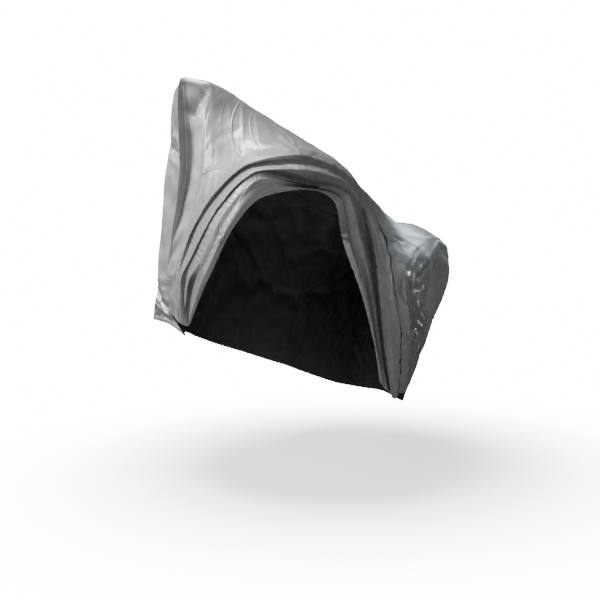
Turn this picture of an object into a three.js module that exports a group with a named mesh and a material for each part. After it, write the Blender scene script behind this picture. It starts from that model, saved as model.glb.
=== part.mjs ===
// Fitted cover of thin coated cloth, pulled half off: it hangs from one high point at the front right,
// falls over a long low back, and its lifted front edge is bunched into folds that run over the top.
// Three cut panels make it: the left side, a long strip over the top and down the back, the right side.
// Millimetres, Z up. X points to the cover's left, Y to its rear. Tables are measured from the ground.
import * as THREE from 'three';

// Driving sizes
const SHEET = 1.6;            // thickness of the cloth as a solid
const SEAM_GAP = 0.4;         // clear space between two panels along a sewn seam
const HOLD_POINT = [150, 800, 860]; // place under the top where the cover is held, above the ground
const STATION_STEPS = 4;      // faces along the arch from one station to the next
const EASE = 0.35;            // 1 lets the cloth swing wide between the table's points, 0 keeps it close

// Stations follow the arch of cloth from the rear end of the left hem to the lower front of the right side.
// at: distance along the arch, which sets how the cloth is shared out between the stations.
const STATIONS = [
  { name: 'heel', at: 0 },
  { name: 'low', at: 240 },
  { name: 'mid', at: 450 },
  { name: 'high', at: 660 },
  { name: 'neck', at: 860 },
  { name: 'slope', at: 1130 },
  { name: 'climb', at: 1300 },
  { name: 'peak', at: 1450 },
  { name: 'fall', at: 1640 },
  { name: 'skirt', at: 1880 },
  { name: 'toe', at: 2130 },
];

// Left panel, front edge: the hem and the crests and hollows of the bunched folds behind it.
// steps: how many strips of cloth lie between this row and the next.
const BUNCH = [
  { row: 'hem', steps: 2, heel: [200, 1015, 265], low: [232, 900, 430], mid: [256, 755, 627],
    high: [276, 574, 831], neck: [280, 516, 956], slope: [317, 275, 985], climb: [229, 150, 959],
    peak: [141, 120, 868], fall: [49, 130, 736], skirt: [12, 140, 690], toe: [-60, 150, 566] },
  { row: 'crest 1', steps: 2, heel: [208, 1026, 250], low: [244, 892, 430], mid: [270, 757, 634],
    high: [294, 587, 831], neck: [296, 530, 967], slope: [328, 258, 990], climb: [236, 135, 979],
    peak: [137, 103, 872], fall: [46, 112, 741], skirt: [10, 122, 694], toe: [-66, 142, 561] },
  { row: 'hollow 1', steps: 3, heel: [192, 1064, 236], low: [222, 942, 425], mid: [242, 825, 631],
    high: [262, 671, 831], neck: [280, 562, 976], slope: [316, 272, 996], climb: [212, 162, 990],
    peak: [78, 168, 896], fall: [-24, 176, 744], skirt: [-66, 170, 694], toe: [-78, 166, 558] },
  { row: 'crest 2', steps: 3, heel: [202, 1085, 218], low: [240, 931, 422], mid: [268, 818, 623],
    high: [288, 698, 826], neck: [300, 566, 990], slope: [332, 248, 1004], climb: [244, 126, 1011],
    peak: [131, 108, 931], fall: [14, 116, 768], skirt: [-54, 136, 694], toe: [-84, 152, 560] },
  { row: 'hollow 2', steps: 3, heel: [176, 1126, 204], low: [202, 1018, 418], mid: [216, 946, 617],
    high: [236, 847, 825], neck: [290, 586, 999], slope: [304, 298, 1014], climb: [203, 190, 1023],
    peak: [84, 164, 938], fall: [-36, 168, 773], skirt: [-84, 165, 696], toe: [-94, 168, 560] },
  { row: 'crest 3', steps: 3, heel: [196, 1138, 192], low: [234, 1004, 416], mid: [262, 895, 612],
    high: [282, 799, 822], neck: [305, 594, 1011], slope: [337, 234, 1040], climb: [232, 118, 1036],
    peak: [109, 110, 953], fall: [-20, 122, 793], skirt: [-88, 142, 698], toe: [-102, 156, 564] },
  { row: 'hollow 3', steps: 3, heel: [186, 1157, 180], low: [220, 1042, 411], mid: [246, 955, 605],
    high: [262, 866, 821], neck: [290, 614, 1024], slope: [298, 296, 1070], climb: [172, 186, 1056],
    peak: [41, 178, 972], fall: [-71, 182, 822], skirt: [-106, 170, 702], toe: [-112, 172, 566] },
];

// Left panel, raised front: the smooth fall of cloth between the bunched folds and the high point.
const FRONT = [
  { row: 'brow', steps: 3, heel: [194, 1169, 172], low: [232, 1073, 410], mid: [258, 979, 607],
    high: [276, 880, 820], neck: [292, 620, 1040], slope: [302, 268, 1090], climb: [184, 150, 1064],
    peak: [69, 138, 988], fall: [-58, 154, 845], skirt: [-116, 158, 708], toe: [-124, 166, 568] },
  { row: 'lean', steps: 5, heel: [186, 1207, 172], low: [222, 1139, 414], mid: [248, 1029, 612],
    high: [266, 931, 815], neck: [284, 636, 1050], slope: [255, 335, 1128], climb: [148, 218, 1110],
    peak: [20, 178, 1036], fall: [-60, 176, 896], skirt: [-132, 174, 716], toe: [-136, 178, 571] },
  { row: 'ridge', steps: 3, heel: [150, 1302, 172], low: [184, 1248, 422], mid: [206, 1139, 616],
    high: [222, 1043, 806], neck: [278, 655, 1050], slope: [150, 511, 1180], climb: [62, 387, 1264],
    peak: [-30, 262, 1340], fall: [-50, 206, 1038], skirt: [-146, 186, 722], toe: [-150, 186, 574] },
];

// Left panel, right end: upright pleats under the high point, then the flap that overlaps the back layer,
// while the same rows fan out over the low left side towards the tail.
const PLEATS = [
  { row: 'pleat hollow', steps: 3, heel: [162, 1322, 172], low: [206, 1262, 436], mid: [232, 1152, 632],
    high: [250, 1056, 804], neck: [262, 760, 1012], slope: [145, 640, 1120], climb: [25, 470, 1250],
    peak: [-114, 243, 1368], fall: [-122, 265, 1090], skirt: [-160, 218, 724], toe: [-166, 204, 578] },
  { row: 'pleat crest', steps: 3, heel: [140, 1390, 160], low: [212, 1296, 426], mid: [244, 1172, 628],
    high: [262, 1112, 792], neck: [258, 900, 958], slope: [160, 780, 1060], climb: [5, 560, 1210],
    peak: [-130, 240, 1372], fall: [-118, 186, 1085], skirt: [-194, 200, 712], toe: [-186, 204, 592] },
  { row: 'under flap', steps: 3, heel: [112, 1455, 148], low: [190, 1380, 416], mid: [220, 1285, 620],
    high: [248, 1240, 785], neck: [246, 1040, 908], slope: [172, 900, 1005], climb: [0, 640, 1160],
    peak: [-150, 268, 1377], fall: [-184, 272, 1110], skirt: [-212, 264, 706], toe: [-162, 250, 512] },
  { row: 'back layer', steps: 3, heel: [76, 1525, 136], low: [176, 1480, 408], mid: [206, 1425, 620],
    high: [240, 1395, 795], neck: [232, 1190, 878], slope: [186, 1010, 950], climb: [5, 720, 1105],
    peak: [-164, 290, 1377], fall: [-224, 296, 1132], skirt: [-285, 284, 704], toe: [-254, 272, 550] },
];

// Long strip over the top: it starts at the left seam, bulges at the tail corner and ends at the right seam.
const STRIP = [
  { row: 'left seam', steps: 3, heel: [40, 1600, 124], low: [152, 1578, 400], mid: [184, 1570, 628],
    high: [228, 1553, 822], neck: [222, 1329, 862], slope: [205, 1076, 888], climb: [20, 790, 1050],
    peak: [-178, 314, 1374], fall: [-263, 309, 1155], skirt: [-321, 296, 702], toe: [-340, 292, 562] },
  { row: 'strip middle', steps: 3, heel: [8, 1655, 70], low: [150, 1655, 415], mid: [262, 1622, 655],
    high: [262, 1608, 795], neck: [160, 1430, 900], slope: [150, 1090, 905], climb: [-30, 800, 1055],
    peak: [-195, 345, 1366], fall: [-298, 368, 1148], skirt: [-342, 352, 700], toe: [-352, 338, 552] },
];

// Right panel: from the right seam down to the far hem, hanging clear, with two soft upright folds.
const FAR_SIDE = [
  { row: 'right seam', steps: 3, heel: [-95, 1650, 110], low: [-20, 1662, 420], mid: [0, 1655, 640],
    high: [20, 1620, 840], neck: [45, 1440, 908], slope: [40, 1110, 905], climb: [-95, 810, 1050],
    peak: [-220, 410, 1336], fall: [-316, 440, 1130], skirt: [-350, 425, 692], toe: [-356, 380, 544] },
  { row: 'far shoulder', steps: 3, heel: [-170, 1640, 118], low: [-125, 1610, 400], mid: [-110, 1590, 600],
    high: [-90, 1540, 760], neck: [-70, 1400, 815], slope: [-80, 1120, 810], climb: [-185, 850, 905],
    peak: [-275, 560, 1110], fall: [-330, 520, 950], skirt: [-345, 480, 670], toe: [-352, 418, 532] },
  { row: 'far flank', steps: 3, heel: [-212, 1610, 128], low: [-190, 1540, 330], mid: [-178, 1470, 460],
    high: [-180, 1390, 560], neck: [-195, 1250, 600], slope: [-190, 1060, 620], climb: [-250, 850, 680],
    peak: [-285, 680, 780], fall: [-318, 590, 740], skirt: [-335, 520, 610], toe: [-345, 445, 522] },
  { row: 'far hem', steps: 0, heel: [-228, 1585, 135], low: [-236, 1450, 168], mid: [-242, 1310, 212],
    high: [-248, 1170, 258], neck: [-254, 1030, 306], slope: [-262, 880, 352], climb: [-270, 755, 392],
    peak: [-278, 650, 424], fall: [-288, 570, 450], skirt: [-305, 500, 478], toe: [-325, 450, 502] },
];

const ROWS = [...BUNCH, ...FRONT, ...PLEATS, ...STRIP, ...FAR_SIDE];
const rowIndex = (name) => ROWS.findIndex((row) => row.row === name);

// Smooth curve through a list of values at uneven stations
function hermite(knots, value, at) {
  let k = knots.length - 2;
  while (k > 0 && knots[k] > at) k -= 1;
  const span = knots[k + 1] - knots[k];
  const f = (at - knots[k]) / span;
  const rise = (i) => (value(i + 1) - value(i)) / (knots[i + 1] - knots[i]);
  const slope = (i) => {
    if (i === 0) return rise(0);
    if (i === knots.length - 1) return rise(i - 1);
    const before = rise(i - 1);
    const after = rise(i);
    const even = (before + after) / 2;
    const calm = before * after > 0 ? 2 * before * after / (before + after) : 0;
    return EASE * even + (1 - EASE) * calm;
  };
  const g = 1 - f;
  return value(k) * g * g * (1 + 2 * f) + value(k + 1) * f * f * (3 - 2 * f)
    + slope(k) * span * f * g * g - slope(k + 1) * span * f * f * g;
}

const ARCH = STATIONS.map((station) => station.at);
const ORDER = ROWS.map((row, index) => index);

// Point of the cloth's outer face, u along the arch and v across the rows
function clothPoint(u, v) {
  return new THREE.Vector3(...[0, 1, 2].map((axis) => {
    const onRow = (r) => hermite(ARCH, (s) => ROWS[r][STATIONS[s].name][axis], u);
    return hermite(ORDER, onRow, v) - HOLD_POINT[axis];
  }));
}

// One grid for the whole cloth: rows of points along the arch, each row split into its steps
const along = ARCH.flatMap((at, s) => {
  const parts = s < ARCH.length - 1 ? STATION_STEPS : 1;
  const span = s < ARCH.length - 1 ? ARCH[s + 1] - at : 0;
  return Array.from({ length: parts }, (unused, k) => at + span * k / parts);
});
const across = ROWS.flatMap((row, r) => {
  const parts = Math.max(row.steps, 1);
  return Array.from({ length: parts }, (unused, k) => r + k / parts);
});
const grid = across.map((v) => along.map((u) => clothPoint(u, v)));

// Outward direction at each grid point: the mean of the faces that meet there
function faceNormal(i, j) {
  const a = grid[i + 1][j + 1].clone().sub(grid[i][j]);
  const b = grid[i + 1][j].clone().sub(grid[i][j + 1]);
  return b.cross(a).normalize();
}
const normals = across.map((v, i) => along.map((u, j) => {
  const sum = new THREE.Vector3();
  for (const k of [i - 1, i]) {
    for (const m of [j - 1, j]) {
      const inside = k >= 0 && m >= 0 && k < across.length - 1 && m < along.length - 1;
      if (inside) sum.add(faceNormal(k, m));
    }
  }
  return sum.normalize();
}));

// A panel is the stretch of cloth between two rows, as a closed sheet: outer face, inner face and rim.
function panel(name, fromRow, toRow, look) {
  const first = across.indexOf(rowIndex(fromRow));
  const last = across.indexOf(rowIndex(toRow));
  const outer = [];
  const inner = [];
  for (let i = first; i <= last; i += 1) {
    const seam = (i === first && i > 0) || (i === last && i < across.length - 1);
    const shift = (i === first ? SEAM_GAP : -SEAM_GAP) / 2;
    along.forEach((u, j) => {
      const point = grid[i][j].clone();
      if (seam) point.addScaledVector(grid[i + 1][j].clone().sub(grid[i - 1][j]).normalize(), shift);
      outer.push(point);
      inner.push(point.clone().addScaledVector(normals[i][j], -SHEET));
    });
  }

  const wide = along.length;
  const high = last - first + 1;
  const points = [...outer, ...inner];
  const under = outer.length;
  const triangles = [];
  const quad = (a, b, c, d) => triangles.push(a, b, c, a, c, d);
  for (let i = 0; i < high - 1; i += 1) {
    for (let j = 0; j < wide - 1; j += 1) {
      const a = i * wide + j;
      quad(a, a + wide, a + 1 + wide, a + 1);
      quad(under + a, under + a + 1, under + a + 1 + wide, under + a + wide);
    }
  }
  const rim = (a, b) => quad(a, b, under + b, under + a);
  for (let j = 0; j < wide - 1; j += 1) {
    rim(j, j + 1);
    const end = (high - 1) * wide + j;
    quad(end, under + end, under + end + 1, end + 1);
  }
  for (let i = 0; i < high - 1; i += 1) {
    rim((i + 1) * wide, i * wide);
    rim(i * wide + wide - 1, (i + 1) * wide + wide - 1);
  }
  const geometry = new THREE.BufferGeometry();
  geometry.setAttribute('position', new THREE.Float32BufferAttribute(points.flatMap((p) => p.toArray()), 3));
  geometry.setIndex(triangles);
  geometry.computeVertexNormals();
  const mesh = new THREE.Mesh(geometry, new THREE.MeshStandardMaterial(look));
  mesh.name = name;
  return mesh;
}

const SILVER = { color: 0xb2b4b0, roughness: 0.45, metalness: 0.15 };

const group = new THREE.Group();
group.add(panel('left_panel', 'hem', 'left seam', SILVER));
group.add(panel('top_strip', 'left seam', 'right seam', SILVER));
group.add(panel('right_panel', 'right seam', 'far hem', SILVER));

export default group;
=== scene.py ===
import math

import bpy
import numpy as np
from mathutils import Matrix, Vector


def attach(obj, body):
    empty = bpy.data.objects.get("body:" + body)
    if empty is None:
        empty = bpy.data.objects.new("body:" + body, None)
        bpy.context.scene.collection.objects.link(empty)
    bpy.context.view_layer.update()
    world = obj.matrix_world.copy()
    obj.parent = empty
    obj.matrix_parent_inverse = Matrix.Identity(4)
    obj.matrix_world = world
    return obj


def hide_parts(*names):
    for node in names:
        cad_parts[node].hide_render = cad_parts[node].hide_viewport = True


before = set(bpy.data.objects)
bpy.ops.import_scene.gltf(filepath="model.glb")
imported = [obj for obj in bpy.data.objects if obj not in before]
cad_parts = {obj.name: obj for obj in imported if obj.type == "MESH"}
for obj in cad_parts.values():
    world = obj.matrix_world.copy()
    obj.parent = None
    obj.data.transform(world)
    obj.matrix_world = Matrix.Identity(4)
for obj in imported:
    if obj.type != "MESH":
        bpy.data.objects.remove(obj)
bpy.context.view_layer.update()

# Camera. The eye stands low and close, ahead of the cover and to its left. The picture leans by one degree.
EYE = (1.463, -2.723, -0.058)
AHEAD = Vector((-0.5171, 0.8537, -0.0619)).normalized()
TILT = math.radians(-1.0)
level_right = AHEAD.cross(Vector((0, 0, 1))).normalized()
level_up = level_right.cross(AHEAD)
picture_right = math.cos(TILT) * level_right + math.sin(TILT) * level_up
picture_up = math.cos(TILT) * level_up - math.sin(TILT) * level_right
axes = Matrix((picture_right, picture_up, -AHEAD)).transposed()
camera = bpy.data.objects.new("camera", bpy.data.cameras.new("camera"))
camera.data.sensor_width = 36
camera.data.lens = 49.16
camera.matrix_world = Matrix.Translation(EYE) @ axes.to_4x4()
bpy.context.scene.collection.objects.link(camera)
bpy.context.scene.camera = camera

# The cloth as a whole: thin woven polyester with a silver coating, sewn from three panels and thrown half off,
# so all of it is shaped on one grid. Each row runs along the arch from the rear end of the left hem (heel) to
# the lower front of the right side (toe), and the rows go from the bunched front edge to the far hem.
HOLD_POINT = np.array((150, 800, 860))
# Columns: station, its place along the arch in millimetres, columns of cloth from it to the next station
STATIONS = [
    ("heel", 0, 32), ("low", 240, 28), ("mid", 450, 24), ("high", 660, 32), ("neck", 860, 28),
    ("slope", 1130, 30), ("climb", 1300, 34), ("peak", 1450, 34), ("fall", 1640, 34), ("skirt", 1880, 24),
    ("toe", 2130, 0),
]
EASE = 0.35
# Columns: row, strips of cloth to the next row, how sharply the cloth turns at it (0 round, 1 creased), then
# a point (x, y, z) in millimetres at each station, four to a line
ROWS = [
    ("hem", 6, 0, [
        (200, 1015, 265), (232, 900, 430), (256, 755, 627), (276, 574, 831),
        (280, 516, 956), (317, 275, 985), (229, 150, 959), (141, 120, 868),
        (49, 130, 736), (12, 140, 690), (-60, 150, 566)]),
    ("crest 1", 8, 0.6, [
        (208, 1026, 250), (244, 892, 430), (270, 757, 634), (294, 587, 831),
        (296, 530, 967), (328, 258, 990), (236, 135, 979), (137, 103, 872),
        (46, 112, 741), (10, 122, 694), (-66, 142, 561)]),
    ("hollow 1", 8, 0.9, [
        (192, 1064, 236), (222, 942, 425), (242, 825, 631), (262, 671, 831),
        (280, 562, 976), (314, 272, 992), (240, 133, 997), (132, 109, 905),
        (26, 118, 757), (-66, 158, 694), (-78, 166, 558)]),
    ("crest 2", 10, 0.6, [
        (202, 1085, 218), (240, 931, 422), (268, 818, 623), (288, 698, 826),
        (300, 566, 990), (331, 250, 998), (244, 125, 1012), (131, 108, 931),
        (14, 116, 768), (-54, 136, 694), (-84, 152, 560)]),
    ("hollow 2", 10, 0.9, [
        (170, 1158, 204), (196, 1032, 418), (216, 946, 617), (236, 847, 825),
        (290, 586, 999), (304, 298, 1004), (228, 128, 1035), (105, 120, 951),
        (-24, 132, 790), (-86, 156, 697), (-94, 168, 560)]),
    ("crest 3", 10, 0.7, [
        (196, 1131, 192), (232, 993, 416), (262, 895, 612), (282, 799, 822),
        (305, 594, 1011), (337, 234, 1040), (232, 121, 1036), (109, 112, 953),
        (-20, 124, 793), (-88, 142, 698), (-102, 156, 564)]),
    ("hollow 3", 6, 0.85, [
        (186, 1157, 180), (220, 1042, 411), (246, 955, 605), (262, 866, 821),
        (290, 614, 1024), (298, 296, 1070), (178, 166, 1059), (62, 153, 983),
        (-63, 165, 838), (-103, 156, 702), (-112, 168, 566)]),
    ("brow", 12, 0.6, [
        (194, 1169, 172), (232, 1073, 410), (258, 979, 607), (276, 880, 820),
        (292, 620, 1040), (302, 268, 1090), (184, 150, 1064), (69, 138, 988),
        (-58, 154, 845), (-116, 158, 708), (-124, 166, 568)]),
    ("lean", 28, 0, [
        (186, 1207, 172), (222, 1139, 414), (248, 1029, 612), (266, 931, 815),
        (284, 636, 1050), (255, 335, 1128), (148, 218, 1110), (20, 178, 1036),
        (-60, 176, 896), (-132, 174, 716), (-136, 178, 571)]),
    ("ridge", 12, 0.6, [
        (150, 1302, 172), (184, 1248, 422), (206, 1139, 616), (222, 1043, 806),
        (278, 655, 1050), (150, 511, 1180), (62, 387, 1264), (-30, 262, 1340),
        (-50, 206, 1038), (-146, 186, 722), (-150, 186, 574)]),
    ("pleat hollow", 12, 0, [
        (156, 1304, 172), (196, 1242, 436), (222, 1129, 632), (240, 1028, 804),
        (262, 760, 1012), (145, 640, 1120), (25, 470, 1250), (-114, 243, 1368),
        (-108, 217, 1089), (-170, 191, 724), (-166, 204, 578)]),
    ("pleat crest", 14, 0.7, [
        (140, 1390, 160), (212, 1296, 426), (244, 1172, 628), (262, 1112, 792),
        (258, 900, 958), (160, 780, 1060), (5, 560, 1210), (-130, 240, 1372),
        (-118, 186, 1085), (-194, 200, 712), (-186, 204, 592)]),
    ("under flap", 14, 0.6, [
        (112, 1455, 148), (190, 1380, 416), (220, 1285, 620), (248, 1240, 785),
        (246, 1040, 908), (172, 900, 1005), (0, 640, 1160), (-150, 268, 1377),
        (-184, 272, 1110), (-212, 264, 706), (-162, 250, 512)]),
    ("back layer", 12, 0.2, [
        (76, 1525, 136), (176, 1480, 408), (206, 1425, 620), (240, 1395, 795),
        (232, 1190, 878), (186, 1010, 950), (5, 720, 1105), (-164, 290, 1377),
        (-224, 296, 1132), (-285, 284, 704), (-254, 272, 550)]),
    ("left seam", 16, 0.5, [
        (40, 1600, 124), (152, 1578, 400), (184, 1570, 628), (228, 1553, 822),
        (222, 1329, 862), (205, 1076, 888), (20, 790, 1050), (-178, 314, 1374),
        (-263, 309, 1155), (-321, 296, 702), (-340, 292, 562)]),
    ("strip middle", 16, 0, [
        (8, 1655, 70), (150, 1655, 415), (244, 1652, 655), (240, 1644, 795),
        (160, 1430, 900), (150, 1090, 905), (-30, 800, 1055), (-195, 345, 1366),
        (-298, 368, 1148), (-342, 352, 700), (-352, 338, 552)]),
    ("right seam", 20, 0.3, [
        (-95, 1650, 110), (-20, 1662, 420), (0, 1655, 640), (20, 1620, 840),
        (45, 1440, 908), (40, 1110, 905), (-95, 810, 1050), (-220, 410, 1336),
        (-316, 440, 1130), (-350, 425, 692), (-356, 380, 544)]),
    ("far shoulder", 22, 0, [
        (-170, 1640, 118), (-125, 1610, 400), (-110, 1590, 600), (-90, 1540, 760),
        (-70, 1400, 815), (-80, 1120, 810), (-185, 850, 905), (-275, 560, 1110),
        (-330, 520, 950), (-345, 480, 670), (-352, 418, 532)]),
    ("far flank", 22, 0, [
        (-212, 1610, 128), (-190, 1540, 330), (-178, 1470, 460), (-180, 1390, 560),
        (-195, 1250, 600), (-190, 1060, 620), (-250, 850, 680), (-285, 680, 780),
        (-318, 590, 740), (-335, 520, 610), (-345, 445, 522)]),
    ("far hem", 0, 0, [
        (-228, 1585, 135), (-236, 1450, 168), (-242, 1310, 212), (-248, 1170, 258),
        (-254, 1030, 306), (-262, 880, 352), (-270, 755, 392), (-278, 650, 424),
        (-288, 570, 450), (-305, 500, 478), (-325, 450, 502)]),
]
row_index = {name: i for i, (name, steps, crease, points) in enumerate(ROWS)}


def smooth(knots, values, at, creased):
    """Curves through values at uneven knots, read at the places in at. creased makes a knot a sharp turn."""
    knots = np.asarray(knots, float)
    spans = np.diff(knots).reshape(-1, 1, 1)
    rise = np.diff(values, axis=0) / spans
    creased = np.broadcast_to(creased, len(knots)).reshape(-1, 1, 1)
    slope = np.empty_like(values)
    slope[0], slope[-1] = rise[0], rise[-1]
    before, after = rise[:-1], rise[1:]
    product = before * after
    calm = np.where(product > 0, 2 * product / np.where(product > 0, before + after, 1), 0)
    slope[1:-1] = EASE * (before + after) / 2 + (1 - EASE) * calm
    leaving = slope[:-1] * (1 - creased[:-1]) + rise * creased[:-1]
    arriving = slope[1:] * (1 - creased[1:]) + rise * creased[1:]
    k = np.clip(np.searchsorted(knots, at, side="right") - 1, 0, len(knots) - 2)
    f = ((at - knots[k]) / np.diff(knots)[k]).reshape(-1, 1, 1)
    g = 1 - f
    return (values[k] * g * g * (1 + 2 * f) + values[k + 1] * f * f * (3 - 2 * f)
            + leaving[k] * spans[k] * f * g * g - arriving[k] * spans[k] * f * f * g)


arch = np.array([place for name, place, columns in STATIONS], float)
along = np.concatenate([np.linspace(place, after, columns, endpoint=False)
                        for (name, place, columns), after in zip(STATIONS, arch[1:])] + [arch[-1:]])
across = np.concatenate([r + np.arange(max(steps, 1)) / max(steps, 1)
                         for r, (name, steps, crease, points) in enumerate(ROWS)])
table = np.array([points for name, steps, crease, points in ROWS], float) - HOLD_POINT
on_rows = smooth(arch, table.transpose(1, 0, 2), along, 0)
creased = [crease for name, steps, crease, points in ROWS]
cloth = smooth(np.arange(len(ROWS)), on_rows.transpose(1, 0, 2), across, creased) / 1000

# How the sheet is wrinkled and crumpled, zone by zone. Columns: zone, row, place along the arch, reach in rows,
# reach along the arch, spare cloth in percent, crumpled face from 0 up
ZONES = [
    ("bunched front edge", 2.5, 1400, 5.0, 900, 0.7, 0.35),
    ("smooth front", 8.3, 1320, 1.1, 260, 0.5, 0.35),
    ("upright pleats", 10.4, 1560, 1.4, 200, 0.7, 0.3),
    ("left edge of the front", 12.8, 1700, 1.6, 420, 1.0, 0.3),
    ("gathers at the turn", 0.6, 620, 1.3, 150, 2.5, 0.9),
    ("pleats of the low side", 4.5, 330, 4.5, 330, 1.2, 0.2),
    ("crumpled low side", 12.4, 340, 1.6, 270, 4.0, 1.8),
    ("upper facets", 12.0, 760, 2.4, 90, 0.8, 0.15),
    ("low corner of the front", 13.2, 2020, 1.2, 110, 3.0, 0.6),
    ("top strip", 15.2, 600, 1.2, 700, 1.6, 0.35),
    ("far side", 17.2, 1000, 1.6, 1500, 2.0, 0.2),
]
EVEN_SPARE = 0.6
EVEN_CRUMPLE = 0.3
spare = np.full((len(across), len(along)), EVEN_SPARE)
crumple = np.full(spare.shape, EVEN_CRUMPLE)
for zone, row, place, row_reach, arch_reach, percent, crumpled in ZONES:
    off_centre = ((across[:, None] - row) / row_reach) ** 2 + ((along[None, :] - place) / arch_reach) ** 2
    share = np.exp(-off_centre ** 2)
    spare += share * (percent - spare)
    crumple += share * (crumpled - crumple)


def doubled(coarse, count, axis):
    """A smooth grid on twice the lines of a coarse one."""
    coarse = np.moveaxis(coarse, axis, 0)
    fine = np.empty((count,) + coarse.shape[1:])
    fine[::2] = coarse
    ends = np.concatenate([coarse[:1], coarse, coarse[-1:]])
    fine[1::2] = (9 * (ends[1:-2] + ends[2:-1]) - ends[:-3] - ends[3:]) / 16
    return np.moveaxis(fine, 0, axis)


def settled(cloth):
    """Lets the sheet buckle where it has spare cloth, while it is held loosely to its own folds."""
    last_frame = 14
    folded_rows = 7.2
    hold_folded, hold_free = 0.6, 0.2
    hem_places, hem_rows = 60, 0.5
    start = cloth[::2, ::2]
    high, wide = start.shape[:2]
    number = np.arange(high * wide).reshape(high, wide)
    corners = [number[:-1, :-1], number[:-1, 1:], number[1:, 1:], number[1:, :-1]]
    mesh = bpy.data.meshes.new("settling")
    mesh.from_pydata(start.reshape(-1, 3).tolist(), [], np.stack(corners, -1).reshape(-1, 4).tolist())
    sheet = bpy.data.objects.new("settling", mesh)
    bpy.context.scene.collection.objects.link(sheet)
    rows, places = across[::2, None], along[None, ::2]
    hold = np.where(rows < folded_rows, hold_folded, hold_free) + 0 * places
    from_hem = np.minimum(np.minimum(places, along[-1] - places) / hem_places,
                          np.minimum(rows, across[-1] - rows) / hem_rows)
    hold = np.maximum(hold, hold_folded * np.clip(1 - from_hem, 0, 1))
    most = spare.max()
    for name, weights in (("hold", hold), ("even", 1 - spare[::2, ::2] / most)):
        group = sheet.vertex_groups.new(name=name)
        weights = np.round(weights, 2).ravel()
        for weight in np.unique(weights):
            group.add(np.nonzero(weights == weight)[0].tolist(), float(weight), "REPLACE")
    modifier = sheet.modifiers.new("settling", "CLOTH")
    weave = modifier.settings
    weave.quality = 5
    weave.mass = 0.3
    weave.tension_stiffness = weave.compression_stiffness = 15
    weave.shear_stiffness = 5
    weave.bending_stiffness = 0.5
    weave.tension_damping = weave.compression_damping = weave.shear_damping = 5
    weave.bending_damping = 0.5
    weave.vertex_group_mass = "hold"
    weave.pin_stiffness = 1
    weave.vertex_group_shrink = "even"
    weave.shrink_min = -most / 100
    weave.shrink_max = 0
    weave.effector_weights.gravity = 0
    modifier.collision_settings.use_collision = False
    modifier.point_cache.frame_start, modifier.point_cache.frame_end = 1, last_frame
    for frame_number in range(1, last_frame + 1):
        bpy.context.scene.frame_set(frame_number)
    shape = sheet.evaluated_get(bpy.context.evaluated_depsgraph_get()).to_mesh()
    places = np.empty(high * wide * 3)
    shape.vertices.foreach_get("co", places)
    moved = places.reshape(high, wide, 3) - start
    bpy.data.objects.remove(sheet)
    bpy.data.meshes.remove(mesh)
    bpy.context.scene.frame_set(1)
    return cloth + doubled(doubled(moved, cloth.shape[0], 0), cloth.shape[1], 1)


def outward(grid):
    """Unit normals of a grid of points, pointing out of the cover: the mean of the faces that meet there."""
    facing = np.cross(grid[1:, 1:] - grid[:-1, :-1], grid[:-1, 1:] - grid[1:, :-1])
    facing /= np.maximum(np.linalg.norm(facing, axis=2, keepdims=True), 1e-12)
    framed = np.pad(facing, ((1, 1), (1, 1), (0, 0)))
    normals = framed[1:, 1:] + framed[:-1, 1:] + framed[1:, :-1] + framed[:-1, :-1]
    return normals / np.maximum(np.linalg.norm(normals, axis=2, keepdims=True), 1e-12)


cloth = settled(cloth)

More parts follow.
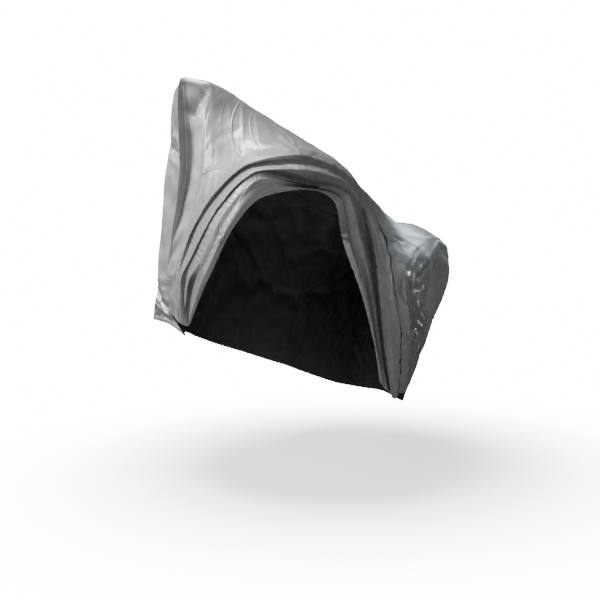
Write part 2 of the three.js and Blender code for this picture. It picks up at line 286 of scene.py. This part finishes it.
# Ridges and troughs of the cloth, each along a line over the sheet.
# Columns: name, height in millimetres (below 0 a trough), reach towards the earlier rows, reach towards the
# later rows, edge (2 round, 1 crisp), then the line's places as (row, millimetres along the arch)
FOLDS = [
    ("roll at the top edge", 7, 9, 12, 1.2,
     [(11.2, 1468), (10.4, 1475), (9.8, 1476), (9.3, 1475), (8.95, 1458)]),
    ("hollow under the corner", -14, 20, 16, 1.4, [(9.1, 1488), (9.3, 1515), (9.6, 1556)]),
    ("upper crease", 3.0, 3.5, 7, 0.9, [(8.95, 1348), (8.5, 1340), (7.88, 1335)]),
    ("upper crease beside it", 2.4, 3.5, 6, 0.9, [(8.9, 1310), (8.54, 1290), (8.02, 1268)]),
    ("faint upper crease", 1.4, 5, 6, 1.2, [(8.8, 1385), (8.5, 1378), (8.1, 1368)]),
    ("slanting crease", 5, 22, 5, 1.0,
     [(8.45, 1555), (8.2, 1480), (8.0, 1400), (7.8, 1340), (7.68, 1280), (7.84, 1235), (8.1, 1180)]),
    ("hook crease", 4.5, 6, 5, 1.0, [(8.62, 1172), (8.45, 1155), (8.2, 1152), (7.9, 1158)]),
    ("pinch at the left edge", -11, 9, 9, 1.2, [(13.9, 1628), (13.0, 1636), (11.8, 1640), (10.95, 1622)]),
    ("lip of the pinch", 8, 8, 8, 1.1, [(13.7, 1608), (12.9, 1604), (11.6, 1614), (10.95, 1612)]),
    ("crease in the back layer", -5, 6, 8, 1.1, [(13.8, 1892), (13.0, 1896), (12.2, 1900)]),
    ("low crinkle", 6, 8, 9, 1.1, [(13.9, 1995), (13.3, 2040), (12.7, 2078)]),
    ("lower crinkle", -6, 8, 8, 1.1, [(13.8, 2100), (13.3, 2078), (12.8, 2100)]),
    ("upper facet edge", 7, 14, 18, 1.1, [(10.4, 748), (11.3, 758), (12.5, 762), (13.3, 750), (14.0, 705)]),
    ("middle facet edge", 8, 18, 18, 1.0,
     [(10.4, 722), (11.1, 722), (12.0, 715), (12.6, 660), (13.5, 555)]),
    ("lower facet edge", 7, 16, 16, 1.0, [(10.1, 655), (10.9, 628), (11.7, 610)]),
    ("trough below the facets", -8, 16, 16, 1.4, [(10.4, 600), (11.2, 560), (12.2, 540), (13.0, 480)]),
    ("long low crease", 9, 9, 12, 0.9, [(11.5, 520), (12.1, 430), (12.3, 330), (12.0, 220)]),
    ("crossing low crease", -8, 10, 9, 0.9, [(13.2, 470), (12.6, 380), (12.5, 260)]),
    ("short low crease", 8, 8, 12, 0.9, [(11.2, 400), (11.6, 300), (11.5, 180)]),
    ("lowest crease", 7, 8, 9, 0.9, [(12.9, 250), (12.7, 150), (12.3, 60)]),
    ("strap of the seam", 3, 6, 14, 1.3, [(14.0, 700), (14.0, 500), (14.0, 300), (14.0, 60)]),
]
row_steps = np.gradient(across).reshape(-1, 1, 1)
arch_steps = np.gradient(along).reshape(1, -1, 1)
per_row, per_arch = np.gradient(cloth, axis=0) / row_steps, np.gradient(cloth, axis=1) / arch_steps
stretch_row = (per_row ** 2).sum(2)
stretch_arch = (per_arch ** 2).sum(2)
stretch_both = (per_row * per_arch).sum(2)


def fold_height(height, reach_before, reach_after, edge, places):
    """Height of a fold at every point of the sheet, from the distance along the cloth to the fold's line."""
    faded_share, least = 0.12, 0.15
    places = np.array(places, float)
    nearest = np.full(stretch_row.shape, 1e9)
    signed = np.zeros_like(nearest)
    travelled = np.zeros_like(nearest)
    for k, (start, end) in enumerate(zip(places, places[1:])):
        step_row, step_arch = end - start
        away_row = across[:, None] - start[0]
        away_arch = along[None, :] - start[1]
        own = (stretch_row * step_row ** 2 + 2 * stretch_both * step_row * step_arch
               + stretch_arch * step_arch ** 2)
        along_it = (stretch_row * step_row * away_row + stretch_arch * step_arch * away_arch
                    + stretch_both * (step_row * away_arch + step_arch * away_row))
        f = np.clip(along_it / own, 0, 1)
        left_row, left_arch = away_row - f * step_row, away_arch - f * step_arch
        distance = np.sqrt(stretch_row * left_row ** 2 + 2 * stretch_both * left_row * left_arch
                           + stretch_arch * left_arch ** 2)
        closer = distance < nearest
        nearest = np.where(closer, distance, nearest)
        signed = np.where(closer, left_row * step_arch - left_arch * step_row, signed)
        travelled = np.where(closer, (k + f) / (len(places) - 1), travelled)
    turned = np.sign(places[-1][1] - places[0][1]) or 1
    reach = np.where(signed * turned < 0, reach_before, reach_after) / 1000
    ends = np.clip(np.minimum(travelled, 1 - travelled) / faded_share, 0, 1)
    fade = ends * ends * (3 - 2 * ends)
    return height / 1000 * (least + (1 - least) * fade) * np.exp(-(nearest / reach) ** edge)


raised = sum(fold_height(*fold[1:]) for fold in FOLDS)
cloth = cloth + raised[:, :, None] * outward(cloth)

# Every point's place on the cut cloth: metres along its row and metres across the rows.
lengths_arch = np.concatenate([np.zeros((len(across), 1)),
                               np.cumsum(np.linalg.norm(np.diff(cloth, axis=1), axis=2), axis=1)], axis=1)
lengths_rows = np.concatenate([np.zeros((1, len(along))),
                               np.cumsum(np.linalg.norm(np.diff(cloth, axis=0), axis=2), axis=0)], axis=0)
from_ends = np.minimum(lengths_arch, lengths_arch[:, -1:] - lengths_arch)
from_edge = np.minimum(from_ends, np.minimum(lengths_rows, lengths_rows[-1:] - lengths_rows))


def crinkled(long, wide, turn, seed):
    """Flat facets between random heights, -1 to 1, as film creases: long by wide metres, turned in degrees."""
    count = 97
    heights = np.random.default_rng(seed).uniform(-1, 1, (count, count))
    cosine, sine = math.cos(math.radians(turn)), math.sin(math.radians(turn))
    a = (cosine * lengths_arch + sine * lengths_rows) / long
    b = (cosine * lengths_rows - sine * lengths_arch) / wide
    a, b = (a + 0.30 * np.sin(1.9 * b + seed) + 0.22 * np.sin(3.1 * b - 1.1 * a + 2 * seed),
            b + 0.30 * np.sin(1.7 * a - seed) + 0.22 * np.sin(2.7 * a + 1.3 * b + seed))
    i, j = np.floor(a).astype(int), np.floor(b).astype(int)
    f, g = a - i, b - j
    near, far = heights[i % count, j % count], heights[(i + 1) % count, (j + 1) % count]
    next_long, next_wide = heights[(i + 1) % count, j % count], heights[i % count, (j + 1) % count]
    return np.where(f + g < 1, near + f * (next_long - near) + g * (next_wide - near),
                    far + (1 - f) * (next_wide - far) + (1 - g) * (next_long - far))


# Columns: facet length along the arch and width across it, in metres, turn in degrees, height in millimetres
CRINKLES = [(0.150, 0.050, 12, 6.0), (0.080, 0.028, -17, 3.2), (0.040, 0.020, 31, 0.6)]
FIRST_SEED = 5
CALM_BY_HEM = 0.03
LEAST_BY_HEM = 0.2
facets = sum(height / 1000 * crinkled(long, wide, turn, FIRST_SEED + k)
             for k, (long, wide, turn, height) in enumerate(CRINKLES))
calmed = crumple * np.clip(np.minimum(from_ends, lengths_rows) / CALM_BY_HEM, LEAST_BY_HEM, 1)
cloth = cloth + (calmed * facets)[:, :, None] * outward(cloth)
normals = outward(cloth)

# Left side panel. One cut piece of the coated cloth, from the bunched front edge over the tent to the left
# seam. Its hem is turned in once and sewn with a row of lockstitch, and the seam joins it to the top strip.
SHEET = 0.001
SEAM_GAP = 0.00002
# Sharp creases pressed into the cloth. Columns: from (row, place along the arch), to, width and height in
# millimetres
CREASES = [
    ((8.97, 1352), (7.86, 1333), 4.0, 1.6),
    ((8.93, 1312), (7.98, 1266), 3.4, 1.2),
    ((8.85, 1392), (8.2, 1380), 4.0, 0.6),
    ((8.4, 1545), (7.98, 1400), 5.0, 1.6),
    ((7.98, 1400), (7.7, 1285), 4.0, 1.4),
    ((8.62, 1172), (8.3, 1150), 3.0, 1.5),
    ((2.9, 1500), (0.2, 1530), 5.0, -2.4),
    ((2.8, 1548), (0.3, 1496), 5.0, 2.0),
    ((4.9, 1560), (3.6, 1640), 5.0, 1.8),
    ((12.2, 1900), (12.9, 1893), 4.0, 1.5),
    ((10.6, 1890), (10.1, 1902), 4.0, 1.5),
    ((6.9, 1690), (5.3, 1760), 5.0, 1.2),
    ((12.6, 700), (13.9, 560), 5.0, 2.0),
    ((11.0, 740), (12.6, 660), 5.0, 2.0),
]
HEM_WIDTH = 0.0125
HEM_STEP = 0.003


class Number:
    """A number in a finish; sums, differences and products on it add Math nodes."""

    def __init__(self, finish, socket):
        self.finish, self.socket = finish, socket

    def worked(self, operation, first, second):
        return self.finish.node("Math", {"operation": operation}, {0: first, 1: second})

    def __add__(self, other):
        return self.worked("ADD", self, other)

    def __sub__(self, other):
        return self.worked("SUBTRACT", self, other)

    def __rsub__(self, other):
        return self.worked("SUBTRACT", other, self)

    def __mul__(self, other):
        return self.worked("MULTIPLY", self, other)

    def __abs__(self):
        return self.finish.node("Math", {"operation": "ABSOLUTE"}, {0: self})

    __radd__, __rmul__ = __add__, __mul__


class Finish:
    """A material. node() adds any node: its kind, its settings, then the values or links of its sockets."""

    def __init__(self, name, **sockets):
        self.material = bpy.data.materials.new(name)
        self.material.use_nodes = True
        self.tree = self.material.node_tree
        self.shader = self.tree.nodes["Principled BSDF"]
        self.plug(self.shader, {key.replace("_", " "): value for key, value in sockets.items()})

    def plug(self, node, sockets):
        for key, value in sockets.items():
            if isinstance(value, Number):
                self.tree.links.new(value.socket, node.inputs[key])
            else:
                node.inputs[key].default_value = value

    def node(self, kind, settings=None, sockets=None, out=0):
        made = self.tree.nodes.new("ShaderNode" + kind)
        for key, value in (settings or {}).items():
            if key == "stops":
                for place, (at, colour) in enumerate(value):
                    stop = made.color_ramp.elements[place]
                    stop.position, stop.color = at, colour
            else:
                setattr(made, key, value)
        self.plug(made, sockets or {})
        return Number(self, made.outputs[out])

    def noise(self, place, scale, detail, roughness=0.5, out=0):
        return self.node("TexNoise", None, {"Vector": place, "Scale": scale, "Detail": detail,
                                            "Roughness": roughness}, out)

    def cells(self, place, scale, feature="F1"):
        return self.node("TexVoronoi", {"feature": feature}, {"Vector": place, "Scale": scale,
                                                              "Randomness": 1.0})

    def mapped(self, value, start, end, low, high, kind="LINEAR"):
        return self.node("MapRange", {"interpolation_type": kind}, {
            "Value": value, "From Min": start, "From Max": end, "To Min": low, "To Max": high})


def cut_place(row, place):
    """Where a point of the sheet lies on the cut cloth, in metres."""
    r, a = int(np.argmin(abs(across - row))), int(np.argmin(abs(along - place)))
    return np.array((lengths_arch[r, a], lengths_rows[r, a]))


def pressed_crease(finish, cut_x, cut_y, start, end, wide, high):
    """A thin ridge of high millimetres on the face of the cloth, between two places on the sheet."""
    start, end = cut_place(*start), cut_place(*end)
    reach = float(np.linalg.norm(end - start))
    step_x, step_y = ((end - start) / reach).tolist()
    away_x, away_y = cut_x - float(start[0]), cut_y - float(start[1])
    run = away_x * step_x + away_y * step_y
    off = abs(away_y * step_x - away_x * step_y)
    ridge = finish.mapped(off, 0.0, wide / 1000, 1.0, 0.0)
    taper = finish.mapped(abs(run - reach / 2), reach * 0.36, reach * 0.55, 1.0, 0.0, "SMOOTHSTEP")
    return ridge * taper * float(high)


def coated_cloth(name, light, dark, rough, gloss, **sockets):
    """Coated cloth: fine grain, pressed creases, a crumpled face where the sheet is crumpled, uneven sheen."""
    finish = Finish(name, **sockets)
    place = finish.node("UVMap", {"uv_map": "cut"})
    spot = finish.node("TexCoord", out="Object")
    amount = finish.node("Attribute", {"attribute_name": "crumple"}, out="Fac")
    wander = finish.noise(spot, 9.0, 2.0, out="Color")
    bent = finish.node("VectorMath", {"operation": "MULTIPLY_ADD"}, {0: wander, 1: (0.05, 0.05, 0.05), 2: spot})
    long_way = finish.node("Mapping", None, {"Vector": place, "Scale": (0.45, 1, 1)})
    bent_cut = finish.node("VectorMath", {"operation": "MULTIPLY_ADD"},
                           {0: wander, 1: (0.06, 0.06, 0), 2: long_way})
    wide_cells = finish.cells(bent_cut, 24.0)
    small_cells = finish.cells(bent, 60.0)
    lines = finish.mapped(finish.cells(bent_cut, 15.0, "DISTANCE_TO_EDGE"), 0.0, 0.06, 1.0, 0.0)
    patchy = finish.mapped(finish.noise(spot, 11.0, 1.0), 0.42, 0.62, 0.0, 1.0)
    waves = finish.noise(bent, 34.0, 5.0, 0.65)
    grain = finish.noise(place, 900.0, 1.0)
    distance = finish.node("Attribute", {"attribute_name": "from_edge"}, out="Fac")
    hem = finish.mapped(distance, HEM_WIDTH, HEM_WIDTH + HEM_STEP, 1.0, 0.0, "SMOOTHSTEP")
    height = (hem * 0.7 + amount * (wide_cells * 0.4 + small_cells * 0.1) + waves * (0.7 - amount * 0.45)
              + grain * 0.02)
    height = height + lines * patchy * (amount * 0.15 + 0.18)
    cut_x, cut_y = [finish.node("SeparateXYZ", None, {"Vector": place}, out=axis) for axis in (0, 1)]
    for crease in CREASES:
        height = height + pressed_crease(finish, cut_x, cut_y, *crease)
    bump = finish.node("Bump", None, {"Strength": 1.0, "Distance": 0.001, "Height": height})
    cloudy = finish.noise(spot, 7.0, 6.0, 0.7)
    tone = finish.node("ValToRGB", {"stops": [(0.3, (*dark, 1)), (0.7, (*light, 1))]}, {"Fac": cloudy},
                       out="Color")
    finish.plug(finish.shader, {"Base Color": tone, "Normal": bump,
                                "Roughness": rough + (cloudy - 0.5) * 0.14 - amount * gloss,
                                "Metallic": amount * gloss * 2.4 + gloss * 0.2,
                                "Coat Weight": amount * gloss * 3.0})
    return finish.material


def drawn_in(edge, next_line):
    """A seam edge of a panel, a hair closer to the panel's next line, so that two panels share no points."""
    step = next_line - edge
    return edge + SEAM_GAP * step / np.linalg.norm(step, axis=1, keepdims=True)


def panel(name, lines):
    """A panel is the stretch of cloth on some lines of the grid, closed: outer face, inner face and rim."""
    outer = cloth[lines].copy()
    if lines.start > 0:
        outer[0] = drawn_in(outer[0], outer[1])
    if lines.stop < len(across):
        outer[-1] = drawn_in(outer[-1], outer[-2])
    inner = outer - SHEET * normals[lines]
    high, wide = outer.shape[:2]
    under = high * wide
    number = np.arange(under).reshape(high, wide)
    corners = [number[:-1, :-1], number[1:, :-1], number[1:, 1:], number[:-1, 1:]]
    outer_faces = np.stack(corners, -1).reshape(-1, 4)
    inner_faces = outer_faces[:, [0, 3, 2, 1]] + under
    edge = np.concatenate([number[0, :], number[1:, -1], number[-1, -2::-1], number[-2::-1, 0]])
    rim_faces = np.stack([edge[:-1], edge[1:], edge[1:] + under, edge[:-1] + under], -1)
    points = np.concatenate([outer.reshape(-1, 3), inner.reshape(-1, 3)])
    mesh = bpy.data.meshes.new(name)
    mesh.from_pydata(points.tolist(), [], np.concatenate([outer_faces, inner_faces, rim_faces]).tolist())
    mesh.materials.append(coat)
    mesh.materials.append(inside)
    counts = len(outer_faces), len(inner_faces), len(rim_faces)
    mesh.polygons.foreach_set("material_index", np.repeat([0, 1, 0], counts))
    mesh.polygons.foreach_set("use_smooth", np.repeat([True, True, False], counts))
    flat = np.tile(np.stack([lengths_arch[lines], lengths_rows[lines]], -1).reshape(-1, 2), (2, 1))
    vertex_of = np.empty(len(mesh.loops), int)
    mesh.loops.foreach_get("vertex_index", vertex_of)
    mesh.uv_layers.new(name="cut").data.foreach_set("uv", flat[vertex_of].ravel())
    for attribute, values in (("crumple", np.minimum(crumple, 1)), ("from_edge", from_edge)):
        stored = mesh.attributes.new(attribute, "FLOAT", "POINT")
        stored.data.foreach_set("value", np.tile(values[lines].ravel(), 2))
    mesh.update()
    piece = bpy.data.objects.new(name, mesh)
    bpy.context.scene.collection.objects.link(piece)
    return piece


def lines_between(first_row, last_row):
    """The lines of the grid from one named row to another."""
    first, last = [int(np.argmin(abs(across - row_index[row]))) for row in (first_row, last_row)]
    return slice(first, last + 1)


coat = coated_cloth("silver_coat", (0.475, 0.48, 0.465), (0.39, 0.395, 0.38), 0.60, 0.32, Coat_Roughness=0.12)
# The inside face is painted near black. This dark colour stands in for the shade inside the hollow cover, not
# for a lining colour.
inside = coated_cloth("inside_painted_shade", (0.065, 0.068, 0.07), (0.05, 0.053, 0.055), 0.7, 0.0)
left_lines = lines_between("hem", "left seam")
left_side = panel("left_side", left_lines)

HEM_INSET = 0.010
STITCH_LIFT = 0.0004
NEAR_LINES = 12


def stitch_line(lines, edge, inset):
    """Places on the outside at one distance in from an edge of a panel: front, far, heel or toe."""
    sheet, facing = cloth[lines], normals[lines]
    if edge in ("heel", "toe"):
        sheet, facing = sheet.transpose(1, 0, 2), facing.transpose(1, 0, 2)
    if edge in ("far", "toe"):
        sheet, facing = sheet[::-1], facing[::-1]
    lengths = np.cumsum(np.linalg.norm(np.diff(sheet[:NEAR_LINES], axis=0), axis=2), axis=0)
    lengths = np.concatenate([np.zeros((1, sheet.shape[1])), lengths])
    k = np.clip((lengths < inset).sum(0), 1, NEAR_LINES - 1)
    column = np.arange(sheet.shape[1])
    f = ((inset - lengths[k - 1, column]) / (lengths[k, column] - lengths[k - 1, column])).clip(0, 1)[:, None]
    line = sheet[k - 1, column] * (1 - f) + sheet[k, column] * f
    return line + STITCH_LIFT * facing[k, column]


stitching = bpy.data.node_groups.new("stitching", "GeometryNodeTree")
for name, kind in (("Lines", "Geometry"), ("Pitch", "Float"), ("Length", "Float"), ("Thread", "Float"),
                   ("Finish", "Material")):
    stitching.interface.new_socket(name, in_out="INPUT", socket_type="NodeSocket" + kind)
stitching.interface.new_socket("Stitches", in_out="OUTPUT", socket_type="NodeSocketGeometry")
steps = {"given": stitching.nodes.new("NodeGroupInput"), "result": stitching.nodes.new("NodeGroupOutput")}
for key, kind in (("curve", "GeometryNodeMeshToCurve"), ("points", "GeometryNodeResampleCurve"),
                  ("tangent", "GeometryNodeInputTangent"), ("stitch", "GeometryNodeMeshCylinder"),
                  ("placed", "GeometryNodeInstanceOnPoints"), ("real", "GeometryNodeRealizeInstances"),
                  ("coated", "GeometryNodeSetMaterial"), ("turn", "FunctionNodeAlignRotationToVector"),
                  ("half", "ShaderNodeMath")):
    steps[key] = stitching.nodes.new(kind)
steps["turn"].axis = "Z"
steps["half"].operation = "MULTIPLY"
steps["half"].inputs[1].default_value = 0.5
steps["points"].mode = "LENGTH"
steps["stitch"].inputs["Vertices"].default_value = 6
for source, out, target, into in (
        ("given", "Lines", "curve", "Mesh"), ("curve", "Curve", "points", "Curve"),
        ("given", "Pitch", "points", "Length"), ("points", "Curve", "placed", "Points"),
        ("tangent", "Tangent", "turn", "Vector"), ("turn", "Rotation", "placed", "Rotation"),
        ("given", "Thread", "half", 0), ("half", 0, "stitch", "Radius"), ("given", "Length", "stitch", "Depth"),
        ("stitch", "Mesh", "placed", "Instance"), ("placed", "Instances", "real", "Geometry"),
        ("real", "Geometry", "coated", "Geometry"), ("given", "Finish", "coated", "Material"),
        ("coated", "Geometry", "result", "Stitches")):
    stitching.links.new(steps[source].outputs[out], steps[target].inputs[into])

thread = Finish("grey_thread", Roughness=0.6)
fibre = thread.noise(thread.node("TexCoord", out="Object"), 700.0, 2.0)
thread.plug(thread.shader, {"Base Color": thread.node("ValToRGB", {"stops": [
    (0.3, (0.28, 0.28, 0.27, 1)), (0.7, (0.40, 0.40, 0.39, 1))]}, {"Fac": fibre}, out="Color")})
STITCH = {"Pitch": 0.0065, "Length": 0.0042, "Thread": 0.0011, "Finish": thread.material}


def sewn(name, lines):
    """Stitches along lines over the cloth, as a plain mesh."""
    mesh = bpy.data.meshes.new(name + "_lines")
    starts = np.cumsum([0] + [len(line) for line in lines])
    edges = [(int(k), int(k) + 1) for start, line in zip(starts, lines)
             for k in range(start, start + len(line) - 1)]
    mesh.from_pydata(np.concatenate(lines).tolist(), edges, [])
    guide = bpy.data.objects.new(name + "_lines", mesh)
    bpy.context.scene.collection.objects.link(guide)
    modifier = guide.modifiers.new("stitching", "NODES")
    modifier.node_group = stitching
    for item in stitching.interface.items_tree:
        if item.name in STITCH:
            modifier[item.identifier] = STITCH[item.name]
    ready = guide.evaluated_get(bpy.context.evaluated_depsgraph_get())
    stitches = bpy.data.objects.new(name, bpy.data.meshes.new_from_object(ready))
    bpy.data.objects.remove(guide)
    bpy.data.meshes.remove(mesh)
    bpy.context.scene.collection.objects.link(stitches)
    return stitches


def handed_over(piece, stitches, node):
    for part in (piece, stitches):
        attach(part, "root")
    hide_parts(node)


left_stitches = sewn("left_side_stitches", [stitch_line(left_lines, edge, HEM_INSET)
                                            for edge in ("heel", "toe", "front")])
handed_over(left_side, left_stitches, "left_panel")

# Top strip. One long piece of the same cloth over the top and down the back, between the two side panels. It
# laps both of them, with a row of lockstitch close beside each seam, and its two ends are hemmed.
SEAM_INSET = 0.004
strip_lines = lines_between("left seam", "right seam")
long_strip = panel("long_strip", strip_lines)
strip_edges = (("heel", HEM_INSET), ("toe", HEM_INSET), ("front", SEAM_INSET), ("far", SEAM_INSET))
strip_stitches = sewn("long_strip_stitches",
                      [stitch_line(strip_lines, edge, inset) for edge, inset in strip_edges])
handed_over(long_strip, strip_stitches, "top_strip")

# Right side panel. The mirror of the left one when cut, of the same cloth. Here it hangs slack from the right
# seam to its own hem, which is turned in and sewn like the left one.
right_lines = lines_between("right seam", "far hem")
right_side = panel("right_side", right_lines)
right_stitches = sewn("right_side_stitches", [stitch_line(right_lines, edge, HEM_INSET)
                                              for edge in ("heel", "toe", "far")])
handed_over(right_side, right_stitches, "right_panel")

# Studio. A plain pale floor that fades into the white around it, and soft boxes. The cloth hangs as high over
# the floor as its hold point is.
FLOOR_LEVEL = -0.860
bpy.ops.mesh.primitive_circle_add(vertices=96, radius=9, fill_type="NGON", location=(0, 0, FLOOR_LEVEL))
floor = bpy.context.object
floor.name = "floor"
paint = Finish("floor_paint", Base_Color=(0.9, 0.9, 0.9, 1), Roughness=0.8)
reach = paint.node("VectorMath", {"operation": "LENGTH"}, {0: paint.node("TexCoord", out="Object")},
                   out="Value")
paint.plug(paint.shader, {"Alpha": paint.mapped(reach, 0.4, 1.5, 0.9, 0.0, "SMOOTHSTEP")})
floor.data.materials.append(paint.material)

world = bpy.data.worlds.new("studio")
world.use_nodes = True
air = world.node_tree.nodes["Background"]
air.inputs["Color"].default_value = (0.93, 0.96, 1, 1)
air.inputs["Strength"].default_value = 0.10
backdrop = world.node_tree.nodes.new("ShaderNodeBackground")
backdrop.inputs["Strength"].default_value = 20.0
seen = world.node_tree.nodes.new("ShaderNodeLightPath")
either = world.node_tree.nodes.new("ShaderNodeMixShader")
world.node_tree.links.new(seen.outputs["Is Camera Ray"], either.inputs[0])
world.node_tree.links.new(air.outputs[0], either.inputs[1])
world.node_tree.links.new(backdrop.outputs[0], either.inputs[2])
world.node_tree.links.new(either.outputs[0], world.node_tree.nodes["World Output"].inputs["Surface"])
bpy.context.scene.world = world

# Columns: soft box, its place, what it is aimed at, width and height, watts, spread in degrees, colour
SOFT_BOXES = [
    ("key", (-2.5, -2.6, 1.7), (-0.25, -0.75, 0.1), (0.9, 0.9), 11.5, 55, (1, 0.99, 0.97)),
    ("sky", (-0.7, -0.9, 2.9), (-0.15, -0.45, 0.3), (0.9, 0.9), 15, 60, (0.95, 0.98, 1)),
    ("fill", (1.3, -2.6, 1.3), (-0.05, -0.5, 0.2), (0.8, 0.8), 1.9, 60, (1, 1, 1)),
    ("tail", (1.46, 2.25, 1.05), (0.14, 0.62, 0.1), (0.35, 0.35), 0.45, 14, (0.78, 0.89, 1)),
    ("facets", (1.2, -0.8, 1.3), (0.11, 0.38, 0.05), (0.1, 0.1), 0.6, 10, (0.8, 0.9, 1)),
    ("side", (1.65, 2.9, 0.4), (0.08, 0.7, -0.34), (0.14, 0.5), 0.09, 12, (0.82, 0.91, 1)),
    ("back", (-3.0, 2.5, 1.8), (-0.2, 0.3, -0.1), (1.8, 1.8), 6, 150, (1, 1, 1)),
]
for name, place, target, (wide, high), watts, spread, colour in SOFT_BOXES:
    light = bpy.data.lights.new(name, "AREA")
    light.shape = "RECTANGLE"
    light.size, light.size_y = wide, high
    light.energy = watts
    light.spread = math.radians(spread)
    light.color = colour
    soft_box = bpy.data.objects.new(name, light)
    soft_box.location = place
    soft_box.rotation_euler = (Vector(target) - Vector(place)).to_track_quat("-Z", "Y").to_euler()
    bpy.context.scene.collection.objects.link(soft_box)
